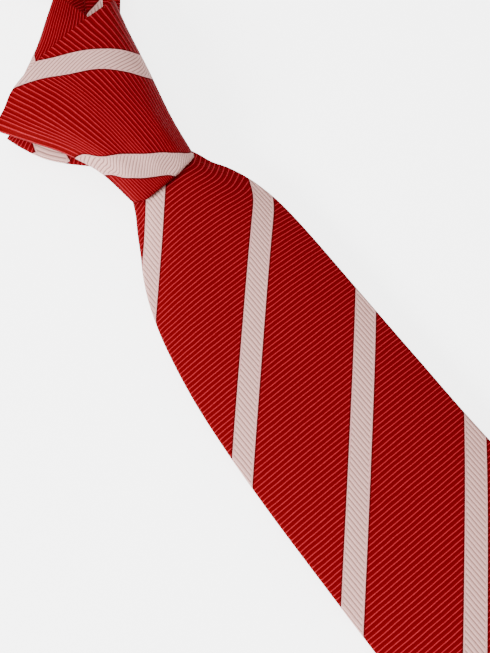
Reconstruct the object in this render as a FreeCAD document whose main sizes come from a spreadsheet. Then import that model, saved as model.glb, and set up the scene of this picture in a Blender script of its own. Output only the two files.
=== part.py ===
import FreeCAD, Part
import os

import Sketcher

# A tied necktie lying face up. Millimetres. +X is across the tie, +Y runs from the
# blade's tip to the neck loop, +Z is up. The origin is below the middle of the tie, on
# the surface that it lies on.

DOCUMENT = FreeCAD.newDocument("necktie")
SHEET = DOCUMENT.addObject("Spreadsheet::Sheet", "sizes")

SIZES = {
    # folded strips: silk wall, play round the interlining, thickness of each stretch
    "ply": 0.7,
    "play": 0.1,
    "layer_gap": 0.3,
    "blade_thick": 4.4,
    "tail_thick": 3.6,
    "neck_thick": 4.0,
    "wrap_thick": 4.1,
    # knot: places along the tie are measured from its lower mouth
    "mouth_along": 117.85,
    "mouth_width": 27.0,
    "knot_width": 58.0,
    "knot_height": 56.0,
    "pass_height": 52.0,
    "pass_width_low": 21.0,
    "pass_width_high": 40.0,
    "narrow_width_low": 20.0,
    "over_pass_width": 29.0,
    "over_pass_across": -2.0,
    "over_pass_bend": 66.0,
    "joint_gap": 0.6,
    # neck loop: both legs leave the knot on its right side
    "root_width": 16.0,
    "root_mid": 64.0,
    "left_root_low_across": 5.0,
    "left_root_mid_across": 21.0,
    "right_root_low_across": 12.0,
    "right_root_mid_across": 26.0,
    "leg_start": 80.0,
    "leg_step": 20.0,
    "band_start": 158.0,
    "band_radius": 59.0,
    "band_width": 34.0,
    "quarter_turn": 90.0,
    "seam_allowance": 5.5,
    "seam_thick": 0.4,
    "seam_width": 30.0,
    # blade
    "blade_top": 9.6,
    "blade_across": -6.0,
    "throat_top": 17.0,
    "throat_start": 1.0,
    "throat_end": 60.0,
    "throat_width": 26.0,
    "blade_width_high": 63.0,
    "blade_width": 85.0,
    "blade_length": 455.0,
    "blade_flap_apex": 150.0,
    "hem": 12.0,
    "tipping_thick": 0.4,
    # tail
    "tail_bottom": 0.8,
    "tail_start": 4.0,
    "tail_throat_width": 20.0,
    "tail_width_high": 38.0,
    "tail_width": 46.0,
    "tail_length": 330.0,
    "tail_flap_apex": 46.0,
    "tail_hem": 7.0,
    # sewing
    "seam_slit": 0.6,
    "stitch_length": 9.0,
    "stitch_pitch": 20.0,
    "stitch_thick": 0.5,
    "blade_stitches": 11.0,
    "tail_stitches": 8.0,
    "tack_length": 6.0,
    "tack_width": 1.4,
    "tack_thick": 0.5,
    # keeper loop and label on the back of the blade
    "keeper_along": 265.0,
    "keeper_width": 14.0,
    "keeper_inside": 50.0,
    "keeper_wall": 0.6,
    "keeper_stitch_inset": 2.5,
    "label_along": 212.0,
    "label_width": 56.0,
    "label_height": 34.0,
    "label_thick": 0.3,
    "label_stitch": 3.0,
    "label_stitch_thick": 0.2,
}

# Stations of the neck legs, one leg step apart from the knot on: across the tie, height
# of the middle, width, turn from lying flat towards standing on edge.
STATION_WORDS = ("first", "second", "third", "fourth")
STATION_SIZES = ("across", "height", "width", "turn")
LEG_STATIONS = {
    "left": ((20.0, 6.2, 14.0, 0.0), (11.0, 9.9, 22.0, 50.0), (-12.0, 14.2, 28.0, 75.0),
             (-44.0, 16.3, 32.0, 85.0)),
    "right": ((38.0, 10.3, 18.0, 0.0), (46.0, 10.5, 24.0, -35.0), (53.0, 13.5, 28.0, -60.0),
              (58.0, 16.3, 32.0, -80.0)),
}
for side_name, stations_of_side in LEG_STATIONS.items():
    for station_word, values in zip(STATION_WORDS, stations_of_side):
        for size_word, value in zip(STATION_SIZES, values):
            SIZES[f"{side_name}_leg_{station_word}_{size_word}"] = value


def fill_sheet():
    """One row per size: its name, its value as text, and the name again as alias."""
    for row, (alias, value) in enumerate(SIZES.items(), start=1):
        SHEET.set(f"A{row}", alias)
        SHEET.set(f"B{row}", str(value))
        SHEET.setAlias(f"B{row}", alias)
    DOCUMENT.recompute()


def f(formula):
    """Writes a formula of size names with the sheet's name before each of them."""
    words = formula.replace("(", " ( ").replace(")", " ) ").split()
    return " ".join(f"sizes.{word}" if word in SIZES else word for word in words)


def along(formula):
    """A place along the tie, given as a distance above (or, negative, below) the mouth."""
    return f(f"( mouth_along + ( {formula} ) )")


def new_body(label):
    body = DOCUMENT.addObject("PartDesign::Body", label)
    body.Label = label
    body.AllowCompound = True
    return body


def new_sketch(body, role, place):
    """Sketch on one of the body's origin planes; place = formulas of its origin."""
    sketch = body.newObject("Sketcher::SketchObject", body.Name + "_sketch")
    plane = next(item for item in body.Origin.OriginFeatures if item.Role == role)
    sketch.AttachmentSupport = [(plane, "")]
    sketch.MapMode = "FlatFace"
    for axis, formula in zip("xyz", place):
        sketch.setExpression(f"AttachmentOffset.Base.{axis}", formula)
    return sketch


def draw_outline(sketch, points):
    """Closed outline of straight lines through points, with its corners joined."""
    count = len(points)
    for index in range(count):
        start = FreeCAD.Vector(*points[index], 0)
        end = FreeCAD.Vector(*points[(index + 1) % count], 0)
        sketch.addGeometry(Part.LineSegment(start, end), False)
    for index in range(count):
        sketch.addConstraint(Sketcher.Constraint("Coincident", index, 2, (index + 1) % count, 1))


def measure(sketch, kind, geometry, formula):
    """Adds a dimension and binds it to a formula."""
    number = sketch.addConstraint(Sketcher.Constraint(kind, *geometry, 1.0))
    sketch.setExpression(f"Constraints[{number}]", formula)


def draw_rectangle(sketch, width, depth, first=0):
    """Rectangle centred on the sketch's origin."""
    corners = [(-1, -1), (1, -1), (1, 1), (-1, 1)]
    count = len(corners)
    for index in range(count):
        start = FreeCAD.Vector(*corners[index], 0)
        end = FreeCAD.Vector(*corners[(index + 1) % count], 0)
        sketch.addGeometry(Part.LineSegment(start, end), False)
    for index in range(count):
        following = first + (index + 1) % count
        sketch.addConstraint(Sketcher.Constraint("Coincident", first + index, 2, following, 1))
    sketch.addConstraint(Sketcher.Constraint("Horizontal", first))
    sketch.addConstraint(Sketcher.Constraint("Horizontal", first + 2))
    sketch.addConstraint(Sketcher.Constraint("Vertical", first + 1))
    sketch.addConstraint(Sketcher.Constraint("Vertical", first + 3))
    sketch.addConstraint(Sketcher.Constraint("Symmetric", first, 1, first + 1, 2, -1, 1))
    measure(sketch, "DistanceX", (first, 1, first, 2), width)
    measure(sketch, "DistanceY", (first + 1, 1, first + 1, 2), depth)


def draw_pointed(sketch, half_low, rise_low, half_high, rise_high):
    """Pointed strip end: the tip on the origin, two slopes, two long sides, a top."""
    draw_outline(sketch, [(0, 0), (2, 2), (3, 9), (-3, 9), (-2, 2)])
    sketch.addConstraint(Sketcher.Constraint("Coincident", 0, 1, -1, 1))
    sketch.addConstraint(Sketcher.Constraint("Symmetric", 0, 2, 3, 2, -2))
    sketch.addConstraint(Sketcher.Constraint("Symmetric", 1, 2, 2, 2, -2))
    measure(sketch, "DistanceX", (-1, 1, 0, 2), half_low)
    measure(sketch, "DistanceY", (-1, 1, 0, 2), rise_low)
    measure(sketch, "DistanceX", (-1, 1, 1, 2), half_high)
    measure(sketch, "DistanceY", (-1, 1, 1, 2), rise_high)


def draw_kite(sketch, half, rise_low, rise_high):
    """Opening between the back flaps: the tip on the origin, two slopes, an apex above."""
    draw_outline(sketch, [(0, 0), (2, 2), (0, 9), (-2, 2)])
    sketch.addConstraint(Sketcher.Constraint("Coincident", 0, 1, -1, 1))
    sketch.addConstraint(Sketcher.Constraint("Symmetric", 0, 2, 2, 2, -2))
    sketch.addConstraint(Sketcher.Constraint("PointOnObject", 1, 2, -2))
    measure(sketch, "DistanceX", (-1, 1, 0, 2), half)
    measure(sketch, "DistanceY", (-1, 1, 0, 2), rise_low)
    measure(sketch, "DistanceY", (-1, 1, 1, 2), rise_high)


def add_loft(body, kind, stations, shrink="0"):
    """Loft through rectangles set across the tie.

    A station is (along, across, height of its middle, width, thickness, turn).
    """
    sketches = []
    for place, across, height, width, thick, turn in stations:
        sketch = new_sketch(body, "XZ_Plane", (f(across), f(height), f"-({along(place)})"))
        sketch.setExpression("AttachmentOffset.Rotation.Angle", f(turn))
        draw_rectangle(sketch, f(f"{width} - 2 * ( {shrink} )"), f(f"{thick} - 2 * ( {shrink} )"))
        sketches.append(sketch)
    loft = body.newObject(f"PartDesign::{kind}", body.Name + "_loft")
    loft.Profile = sketches[0]
    loft.Sections = sketches[1:]
    loft.Ruled = True
    return loft


def add_slab(body, kind, sketch, thick):
    """Pad or Pocket, half of its thickness on each side of the sketch."""
    slab = body.newObject(f"PartDesign::{kind}", body.Name + "_slab")
    slab.Profile = sketch
    slab.Midplane = True
    slab.setExpression("Length", thick)
    return slab


def add_hollow(body, make):
    """Runs make, which cuts the body, and checks that it took material away."""
    DOCUMENT.recompute()
    before = body.Shape.Volume
    make()
    DOCUMENT.recompute()
    if not body.Shape.Volume < before:
        raise RuntimeError(f"nothing was cut from {body.Label}")


# Heights of the layers of the knot, from the surface that it lies on.
BACK_MIDDLE = "wrap_thick / 2"
NARROW_MIDDLE = "( wrap_thick + layer_gap + tail_thick / 2 )"
INNER_BOTTOM = "( wrap_thick + layer_gap * 2 + tail_thick )"
INNER_MIDDLE = f"( {INNER_BOTTOM} + neck_thick / 2 )"
BLADE_PASS_BOTTOM = f"( {INNER_BOTTOM} + neck_thick + layer_gap )"
BLADE_PASS_MIDDLE = f"( {BLADE_PASS_BOTTOM} + blade_thick / 2 )"
CHANNEL_TOP = f"( {BLADE_PASS_BOTTOM} + blade_thick + layer_gap )"
CHANNEL_BOTTOM = "( wrap_thick + layer_gap )"
CHANNEL_DEPTH = f"( {CHANNEL_TOP} - {CHANNEL_BOTTOM} )"
CHANNEL_MIDDLE = f"( {CHANNEL_BOTTOM} + {CHANNEL_DEPTH} / 2 )"
SHELL_DEPTH = f"( {CHANNEL_DEPTH} + wrap_thick )"
SHELL_MIDDLE = f"( {CHANNEL_BOTTOM} + {SHELL_DEPTH} / 2 )"


def make_front_wrap():
    """Outermost turn of the wide end: a channel that holds the layers of the knot."""
    body = new_body("front_wrap")
    add_loft(body, "AdditiveLoft", [
        ("0", "0", SHELL_MIDDLE, "mouth_width", SHELL_DEPTH, "0"),
        ("knot_height", "0", SHELL_MIDDLE, "knot_width", SHELL_DEPTH, "0"),
    ])
    add_hollow(body, lambda: add_loft(body, "SubtractiveLoft", [
        ("0", "0", CHANNEL_MIDDLE, "( mouth_width - 5 * ply )", CHANNEL_DEPTH, "0"),
        ("knot_height", "0", CHANNEL_MIDDLE, "( knot_width - 2 * wrap_thick )", CHANNEL_DEPTH, "0"),
    ]))


def make_back_wrap():
    """Turn of the wide end behind the knot, flat on the surface."""
    body = new_body("back_wrap")
    sketch = new_sketch(body, "XY_Plane", ("0", along("0"), f(BACK_MIDDLE)))
    draw_outline(sketch, [(3, 0), (6, 9), (-6, 9), (-3, 0)])
    sketch.addConstraint(Sketcher.Constraint("Symmetric", 0, 1, 2, 2, -2))
    sketch.addConstraint(Sketcher.Constraint("Symmetric", 0, 2, 1, 2, -2))
    sketch.addConstraint(Sketcher.Constraint("PointOnObject", 0, 1, -1))
    measure(sketch, "DistanceX", (-1, 1, 0, 1), f("mouth_width / 2 - ply"))
    measure(sketch, "DistanceX", (-1, 1, 0, 2), f("knot_width / 2 - wrap_thick"))
    measure(sketch, "DistanceY", (-1, 1, 0, 2), f("pass_height"))
    add_slab(body, "Pad", sketch, f("wrap_thick"))


def make_tail_pass():
    """Narrow end going up through the knot to the left leg of the neck loop."""
    add_loft(new_body("tail_pass"), "AdditiveLoft", [
        ("0", "0", NARROW_MIDDLE, "narrow_width_low", "tail_thick", "0"),
        ("pass_height", "left_root_low_across", NARROW_MIDDLE, "root_width", "tail_thick", "0"),
    ])


def make_inner_wrap():
    """First crossing of the wide end, over the narrow end, from the right leg."""
    add_loft(new_body("inner_wrap"), "AdditiveLoft", [
        ("0", "0", INNER_MIDDLE, "narrow_width_low", "neck_thick", "0"),
        ("pass_height", "right_root_low_across", INNER_MIDDLE, "root_width", "neck_thick", "0"),
    ])


def blade_pass_stations():
    low = ("0", "0", BLADE_PASS_MIDDLE, "pass_width_low", "blade_thick", "0")
    high = ("knot_height", "0", BLADE_PASS_MIDDLE, "pass_width_high", "blade_thick", "0")
    return [low, high]


def make_blade_pass():
    """Wide end coming down under the front wrap, a folded tube round its interlining."""
    body = new_body("blade_pass")
    add_loft(body, "AdditiveLoft", blade_pass_stations())
    add_hollow(body, lambda: add_loft(body, "SubtractiveLoft", blade_pass_stations(), "ply"))


def make_knot_interlining():
    add_loft(new_body("knot_interlining"), "AdditiveLoft", blade_pass_stations(), "( ply + play )")


def make_over_pass():
    """Wide end rising behind the legs and turning over the top of the knot."""
    body = new_body("over_pass")
    outer = f"( {BLADE_PASS_BOTTOM} + blade_thick ) / 2"
    place = (along("over_pass_bend"), f(outer), f("over_pass_across"))
    sketch = new_sketch(body, "YZ_Plane", place)
    up = FreeCAD.Vector(0, 0, 1)
    origin = FreeCAD.Vector(0, 0, 0)
    for radius in (8.0, 4.0):
        circle = Part.Circle(origin, up, radius)
        sketch.addGeometry(Part.ArcOfCircle(circle, -1.5708, 1.5708), False)
    front, back = (-8, 8), (-13, -8)
    lines = [((0, 8), front), (front, (-8, 4)), ((-8, 4), (0, 4))]
    lines += [((0, -8), back), (back, (-13, -4)), ((-13, -4), (0, -4))]
    for start, end in lines:
        sketch.addGeometry(Part.LineSegment(FreeCAD.Vector(*start, 0), FreeCAD.Vector(*end, 0)), False)
    joined = [(0, 2, 2, 1), (2, 2, 3, 1), (3, 2, 4, 1), (4, 2, 1, 2)]
    joined += [(0, 1, 5, 1), (5, 2, 6, 1), (6, 2, 7, 1), (7, 2, 1, 1)]
    for pair in joined:
        sketch.addConstraint(Sketcher.Constraint("Coincident", *pair))
    for arc in (0, 1):
        sketch.addConstraint(Sketcher.Constraint("Coincident", arc, 3, -1, 1))
    for line in (2, 4, 5, 7):
        sketch.addConstraint(Sketcher.Constraint("Horizontal", line))
    for line in (3, 6):
        sketch.addConstraint(Sketcher.Constraint("Vertical", line))
    for point in ((0, 1), (0, 2), (1, 1), (1, 2)):
        sketch.addConstraint(Sketcher.Constraint("PointOnObject", *point, -2))
    measure(sketch, "Radius", (0,), f(outer))
    measure(sketch, "Radius", (1,), f(f"{outer} - blade_thick"))
    measure(sketch, "DistanceX", (2, 2, -1, 1), f("over_pass_bend - knot_height - layer_gap"))
    measure(sketch, "DistanceX", (5, 2, -1, 1), f("over_pass_bend - pass_height - layer_gap"))
    add_slab(body, "Pad", sketch, f("over_pass_width"))


def make_neck_root(side, middle, thick):
    """Short end of a neck leg, held in the knot below the over pass."""
    low, mid, end = f"{side}_root_low_across", f"{side}_root_mid_across", f"{side}_leg_first_across"
    add_loft(new_body(f"neck_{side}_root"), "AdditiveLoft", [
        ("( pass_height + layer_gap )", low, middle, "root_width", thick, "0"),
        ("root_mid", mid, middle, "root_width", thick, "0"),
        ("( leg_start - joint_gap )", end, middle, f"{side}_leg_first_width", thick, "0"),
    ])


def leg_stations(side, sign):
    """A leg turns from flat at the knot to upright at the back of the neck."""
    stations = []
    for step, word in enumerate(STATION_WORDS):
        across, height, width, turn = (f"{side}_leg_{word}_{size}" for size in STATION_SIZES)
        place = f"( leg_start + {step} * leg_step )"
        stations.append((place, across, height, width, "neck_thick", turn))
    upright = f"-1 * {sign} * quarter_turn"
    across = f"{sign} * band_radius"
    stations.append(("band_start", across, "band_width / 2", "band_width", "neck_thick", upright))
    return stations


def make_neck_leg(side, sign):
    body = new_body(f"neck_{side}_leg")
    add_loft(body, "AdditiveLoft", leg_stations(side, sign))
    add_hollow(body, lambda: add_loft(body, "SubtractiveLoft", leg_stations(side, sign), "ply"))
    core = new_body(f"neck_{side}_interlining")
    add_loft(core, "AdditiveLoft", leg_stations(side, sign), "( ply + play )")


def draw_half_ring(sketch, inner, outer):
    """Half ring open towards the sketch's lower side, centred on its origin."""
    up = FreeCAD.Vector(0, 0, 1)
    origin = FreeCAD.Vector(0, 0, 0)
    for radius in (6.0, 5.0):
        circle = Part.Circle(origin, up, radius)
        sketch.addGeometry(Part.ArcOfCircle(circle, 0, 3.14159), False)
    sketch.addGeometry(Part.LineSegment(FreeCAD.Vector(5, 0, 0), FreeCAD.Vector(6, 0, 0)), False)
    sketch.addGeometry(Part.LineSegment(FreeCAD.Vector(-5, 0, 0), FreeCAD.Vector(-6, 0, 0)), False)
    for pair in ((2, 1, 1, 1), (2, 2, 0, 1), (3, 1, 1, 2), (3, 2, 0, 2)):
        sketch.addConstraint(Sketcher.Constraint("Coincident", *pair))
    for arc in (0, 1):
        sketch.addConstraint(Sketcher.Constraint("Coincident", arc, 3, -1, 1))
    for line in (2, 3):
        sketch.addConstraint(Sketcher.Constraint("PointOnObject", line, 1, -1))
        sketch.addConstraint(Sketcher.Constraint("PointOnObject", line, 2, -1))
    measure(sketch, "Radius", (0,), outer)
    measure(sketch, "Radius", (1,), inner)


def add_half_ring(body, kind, inset):
    """Upright half ring of the neck band, inset from its faces and edges."""
    place = ("0", along("band_start + layer_gap"), f("band_width / 2"))
    sketch = new_sketch(body, "XY_Plane", place)
    draw_half_ring(
        sketch,
        f(f"band_radius - neck_thick / 2 + {inset}"),
        f(f"band_radius + neck_thick / 2 - {inset}"),
    )
    add_slab(body, kind, sketch, f(f"band_width - 2 * {inset}"))


def make_neck_back():
    """Band round the back of the neck, its interlining and its seam allowances."""
    body = new_body("neck_back_band")
    add_half_ring(body, "Pad", "0")
    add_hollow(body, lambda: add_half_ring(body, "Pocket", "ply"))
    core = new_body("neck_back_interlining")
    place = ("0", along("band_start + layer_gap"), f("band_width / 2"))
    sketch = new_sketch(core, "XY_Plane", place)
    inner = "band_radius - neck_thick / 2 + ply + play"
    outer = "band_radius + neck_thick / 2 - ply - 2 * play - 2 * seam_thick"
    draw_half_ring(sketch, f(inner), f(outer))
    add_slab(core, "Pad", sketch, f("seam_width"))
    seam_across = "( band_radius + neck_thick / 2 - ply - seam_thick - play )"
    for side, sign in (("left", "-1"), ("right", "1")):
        seam = new_body(f"neck_seam_{side}")
        middle = along("band_start + layer_gap + seam_allowance / 2")
        sketch = new_sketch(seam, "XY_Plane", (f(f"{sign} * {seam_across}"), middle, f("band_width / 2")))
        draw_rectangle(sketch, f("seam_thick"), f("seam_allowance"))
        add_slab(seam, "Pad", sketch, f("seam_width"))


class Strip:
    """Sizes of a hanging end: a throat below the knot, then a flat pointed stretch."""

    def __init__(self, name, across, top, thick, throat, width_high, width, length):
        self.name = name
        self.across = across
        self.thick = thick
        self.middle = f"( {top} - {thick} / 2 )"
        self.throat_start, self.throat_width, self.throat_middle = throat
        self.width_high = width_high
        self.width = width
        self.length = length


def add_throat(strip, body, kind, inset):
    add_loft(body, kind, [
        (f"-1 * {strip.throat_start}", "0", strip.throat_middle, strip.throat_width, strip.thick, "0"),
        ("-1 * throat_end", strip.across, strip.middle, strip.width_high, strip.thick, "0"),
    ], inset)


def add_flat(strip, body, kind, inset):
    """Pointed stretch; the slopes of its tip stand at 45 degrees, as inset as the sides."""
    tip = along(f"-1 * {strip.length} + {inset} * 1.4142")
    sketch = new_sketch(body, "XY_Plane", (f(strip.across), tip, f(strip.middle)))
    half = f"( {strip.width} / 2 - {inset} )"
    half_high = f"( {strip.width_high} / 2 - {inset} )"
    rise_high = f"( {strip.length} - throat_end - {inset} * 1.4142 )"
    draw_pointed(sketch, f(half), f(half), f(half_high), f(rise_high))
    add_slab(body, kind, sketch, f(f"{strip.thick} - 2 * {inset}"))


def flap_opening(strip, body, kind, hem, apex, inset, level, thick):
    """Opening between the back flaps above the tip, or the lining that fills it."""
    tip = along(f"-1 * {strip.length} + ( {hem} + {inset} ) * 1.4142")
    sketch = new_sketch(body, "XY_Plane", (f(strip.across), tip, f(level)))
    half = f"( {strip.width} / 2 - {hem} - {inset} )"
    rise = f"( {apex} - ( {hem} + {inset} ) * 1.4142 - {inset} * 4 )"
    draw_kite(sketch, f(half), f(half), f(rise))
    add_slab(body, kind, sketch, f(thick))


def back_level(strip, depth):
    """Height of the middle of a layer that lies flush in the back wall."""
    return f"( {strip.middle} - {strip.thick} / 2 + {depth} / 2 )"


def make_strip(strip, hem, apex):
    """Folded shell, open along its back seam and over its tipping, and the interlining."""
    body = new_body(f"{strip.name}_shell")
    add_throat(strip, body, "AdditiveLoft", "0")
    add_flat(strip, body, "Pad", "0")
    add_hollow(body, lambda: add_throat(strip, body, "SubtractiveLoft", "ply"))
    add_hollow(body, lambda: add_flat(strip, body, "Pocket", "ply"))
    level = back_level(strip, "ply")
    add_hollow(body, lambda: flap_opening(strip, body, "Pocket", hem, apex, "0", level, "ply"))

    def cut_seam():
        seam_middle = f"( throat_end + {strip.length} - {apex} ) / 2"
        sketch = new_sketch(body, "XY_Plane", (f(strip.across), along(f"-1 * {seam_middle}"), f(level)))
        draw_rectangle(sketch, f("seam_slit"), f(f"{strip.length} - {apex} - throat_end + 2 * seam_slit"))
        add_slab(body, "Pocket", sketch, f("ply"))

    add_hollow(body, cut_seam)
    core = new_body(f"{strip.name}_interlining")
    add_throat(strip, core, "AdditiveLoft", "( ply + play )")
    add_flat(strip, core, "Pad", "( ply + play )")
    lining = new_body(f"{strip.name}_tipping")
    level = back_level(strip, "tipping_thick")
    flap_opening(strip, lining, "Pad", hem, apex, "play", level, "tipping_thick")


def add_row(body, pad, count, direction):
    """Repeats a stitch along the tie."""
    row = body.newObject("PartDesign::LinearPattern", body.Name + "_row")
    row.Originals = [pad]
    axis = next(item for item in body.Origin.OriginFeatures if item.Role == direction)
    row.Direction = (axis, [""])
    row.setExpression("Length", f(f"stitch_pitch * ( {count} - 1 )"))
    row.setExpression("Occurrences", f(count))
    body.Tip = row


def make_slip_stitch(strip, apex, count):
    """Long stitches that close the back seam, lying in it."""
    body = new_body(f"{strip.name}_slip_stitch")
    start = along(f"-1 * {strip.length} + {apex} + stitch_pitch")
    level = back_level(strip, "stitch_thick")
    sketch = new_sketch(body, "XY_Plane", (f(strip.across), start, f(level)))
    draw_rectangle(sketch, f("stitch_thick"), f("stitch_length"))
    pad = add_slab(body, "Pad", sketch, f("stitch_thick"))
    DOCUMENT.recompute()
    add_row(body, pad, count, "Y_Axis")


def make_bar_tack(strip, apex):
    """Short bar of thread across the top of the opening between the flaps."""
    body = new_body(f"{strip.name}_bar_tack")
    place = along(f"-1 * {strip.length} + {apex} + tack_width")
    level = f"( {strip.middle} - {strip.thick} / 2 - tack_thick / 2 )"
    sketch = new_sketch(body, "XY_Plane", (f(strip.across), place, f(level)))
    draw_rectangle(sketch, f("tack_length"), f("tack_width"))
    add_slab(body, "Pad", sketch, f("tack_thick"))


KEEPER_TOP = "( blade_top - blade_thick )"


def make_keeper():
    """Band on the back of the blade that the tail goes through, and its end stitches."""
    body = new_body("keeper_loop")
    place = (f("blade_across"), f(f"{KEEPER_TOP} / 2"), f"-({along('-1 * keeper_along')})")
    sketch = new_sketch(body, "XZ_Plane", place)
    draw_rectangle(sketch, f("keeper_inside + 2 * keeper_wall"), f(KEEPER_TOP))
    draw_rectangle(sketch, f("keeper_inside"), f(f"{KEEPER_TOP} - 2 * keeper_wall"), 4)
    add_slab(body, "Pad", sketch, f("keeper_width"))
    stitches = new_body("keeper_stitches")
    level = f(f"{KEEPER_TOP} + ply / 2")
    for sign in ("-1", "1"):
        across = f"( blade_across + {sign} * ( keeper_inside / 2 - keeper_stitch_inset ) )"
        sketch = new_sketch(stitches, "XY_Plane", (f(across), along("-1 * keeper_along"), level))
        draw_rectangle(sketch, f("stitch_thick"), f("keeper_width - 2 * keeper_stitch_inset"))
        add_slab(stitches, "Pad", sketch, f("ply - 2 * play"))


def make_label():
    """Plain woven label on the back of the blade, held at its four corners."""
    body = new_body("name_label")
    level = f"( {KEEPER_TOP} - label_thick / 2 )"
    place = (f("blade_across"), along("-1 * label_along"), f(level))
    sketch = new_sketch(body, "XY_Plane", place)
    draw_rectangle(sketch, f("label_width"), f("label_height"))
    add_slab(body, "Pad", sketch, f("label_thick"))
    stitches = new_body("label_stitches")
    level = f"( {KEEPER_TOP} - label_thick - label_stitch_thick / 2 )"
    for side in ("-1", "1"):
        for end in ("-1", "1"):
            across = f"( blade_across + {side} * ( label_width / 2 - label_stitch ) )"
            middle = along(f"-1 * label_along + {end} * ( label_height / 2 - label_stitch / 2 )")
            sketch = new_sketch(stitches, "XY_Plane", (f(across), middle, f(level)))
            draw_rectangle(sketch, f("label_stitch"), f("stitch_thick"))
            add_slab(stitches, "Pad", sketch, f("label_stitch_thick"))


def make_hanging_ends():
    blade_throat = ("throat_start", "throat_width", "( throat_top - blade_thick / 2 )")
    blade = Strip("blade", "blade_across", "blade_top", "blade_thick", blade_throat,
                  "blade_width_high", "blade_width", "blade_length")
    tail_throat = ("tail_start", "tail_throat_width", "( tail_bottom + tail_thick / 2 )")
    tail = Strip("tail", "blade_across", "( tail_bottom + tail_thick )", "tail_thick", tail_throat,
                 "tail_width_high", "tail_width", "tail_length")
    make_strip(blade, "hem", "blade_flap_apex")
    make_strip(tail, "tail_hem", "tail_flap_apex")
    make_slip_stitch(blade, "blade_flap_apex", "blade_stitches")
    make_slip_stitch(tail, "tail_flap_apex", "tail_stitches")
    make_bar_tack(blade, "blade_flap_apex")
    make_bar_tack(tail, "tail_flap_apex")


def make_knot():
    make_front_wrap()
    make_back_wrap()
    make_tail_pass()
    make_inner_wrap()
    make_blade_pass()
    make_knot_interlining()
    make_over_pass()
    make_neck_root("left", NARROW_MIDDLE, "tail_thick")
    make_neck_root("right", INNER_MIDDLE, "neck_thick")


def check_document():
    """Stops if any object failed or any piece is empty or not valid."""
    for item in DOCUMENT.Objects:
        if "Invalid" in item.State or "Error" in item.State:
            raise RuntimeError(f"{item.Label}: {item.State}")
    for body in bodies():
        if body.Shape.isNull() or not body.Shape.isValid() or not body.Shape.Solids:
            raise RuntimeError(f"{body.Label} is not a valid solid")


def bodies():
    return [item for item in DOCUMENT.Objects if item.TypeId == "PartDesign::Body"]


def write_parts():
    os.makedirs("parts", exist_ok=True)
    for body in bodies():
        body.Shape.exportStep(f"parts/{body.Label}.step")
        box = body.Shape.BoundBox
        spans = f"x {box.XMin:.1f}..{box.XMax:.1f} y {box.YMin:.1f}..{box.YMax:.1f}"
        print(f"{body.Label}: {spans} z {box.ZMin:.2f}..{box.ZMax:.2f}, {len(body.Shape.Solids)} solids")


fill_sheet()
make_knot()
make_neck_leg("left", "-1")
make_neck_leg("right", "1")
make_neck_back()
make_hanging_ends()
make_keeper()
make_label()
DOCUMENT.recompute()
check_document()
write_parts()
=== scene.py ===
import math

import bpy
import numpy as np
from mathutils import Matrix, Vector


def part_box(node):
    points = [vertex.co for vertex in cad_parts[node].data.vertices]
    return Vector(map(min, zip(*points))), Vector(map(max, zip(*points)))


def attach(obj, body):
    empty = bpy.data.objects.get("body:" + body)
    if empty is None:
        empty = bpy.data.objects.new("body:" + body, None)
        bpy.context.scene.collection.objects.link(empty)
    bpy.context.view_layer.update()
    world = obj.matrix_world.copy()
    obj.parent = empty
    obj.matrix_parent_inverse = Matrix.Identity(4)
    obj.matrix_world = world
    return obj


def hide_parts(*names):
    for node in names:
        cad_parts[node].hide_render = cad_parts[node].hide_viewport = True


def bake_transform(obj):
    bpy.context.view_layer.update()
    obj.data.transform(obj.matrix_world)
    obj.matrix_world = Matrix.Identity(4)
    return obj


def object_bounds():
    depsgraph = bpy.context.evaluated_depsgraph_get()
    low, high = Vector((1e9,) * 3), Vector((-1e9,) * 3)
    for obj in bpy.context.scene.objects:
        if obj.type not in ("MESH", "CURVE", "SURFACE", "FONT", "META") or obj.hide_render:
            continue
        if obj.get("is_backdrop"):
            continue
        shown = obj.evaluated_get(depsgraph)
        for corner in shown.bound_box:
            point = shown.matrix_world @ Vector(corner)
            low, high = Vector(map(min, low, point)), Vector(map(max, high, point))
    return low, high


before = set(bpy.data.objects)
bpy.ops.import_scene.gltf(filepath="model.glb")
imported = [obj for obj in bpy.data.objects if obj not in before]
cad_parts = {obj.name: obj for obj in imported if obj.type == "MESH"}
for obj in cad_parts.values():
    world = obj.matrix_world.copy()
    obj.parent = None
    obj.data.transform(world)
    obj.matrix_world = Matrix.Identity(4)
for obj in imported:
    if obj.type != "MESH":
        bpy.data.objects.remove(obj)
cad_low, cad_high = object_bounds()

# ---- Table, camera and lamps ----
# The tie lies face up on a white table, which glows more to the camera than on the tie.
# Lamps stand to its left and above, and a weak one to its right. The camera looks down
# past the blade to the knot. MOUTH is where the blade leaves the knot.
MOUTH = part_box("front_wrap")[0].y
TABLE_SIZE = 6.0
TABLE_DROP = 0.0004
CAMERA_DISTANCE = 0.320
CAMERA_AZIMUTH = math.radians(-39.0)
CAMERA_ELEVATION = math.radians(72.0)
TABLE_WHITE = (0.93, 0.93, 0.93, 1.0)
TABLE_GLOW = 3.6
TABLE_BOUNCE = 0.9
LAMPS = (
    ("lamp_left", (-0.95, 0.05, 0.55), 0.50, 26.0),
    ("lamp_top", (-0.10, 0.10, 1.30), 1.10, 14.0),
    ("lamp_right", (0.90, -0.30, 0.80), 0.80, 2.5),
)


def link(name, mesh):
    piece = bpy.data.objects.new(name, mesh)
    bpy.context.scene.collection.objects.link(piece)
    return piece


def feed(tree, node, inputs):
    """Links each of the node's inputs to its source, or sets it to its value."""
    for name, value in inputs.items():
        if isinstance(value, bpy.types.NodeSocket):
            tree.links.new(value, node.inputs[name])
        else:
            node.inputs[name].default_value = value


def add_node(tree, kind, inputs, **settings):
    """A node of that kind, with those inputs and settings."""
    node = tree.nodes.new(kind)
    for name, value in settings.items():
        setattr(node, name, value)
    feed(tree, node, inputs)
    return node


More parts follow.
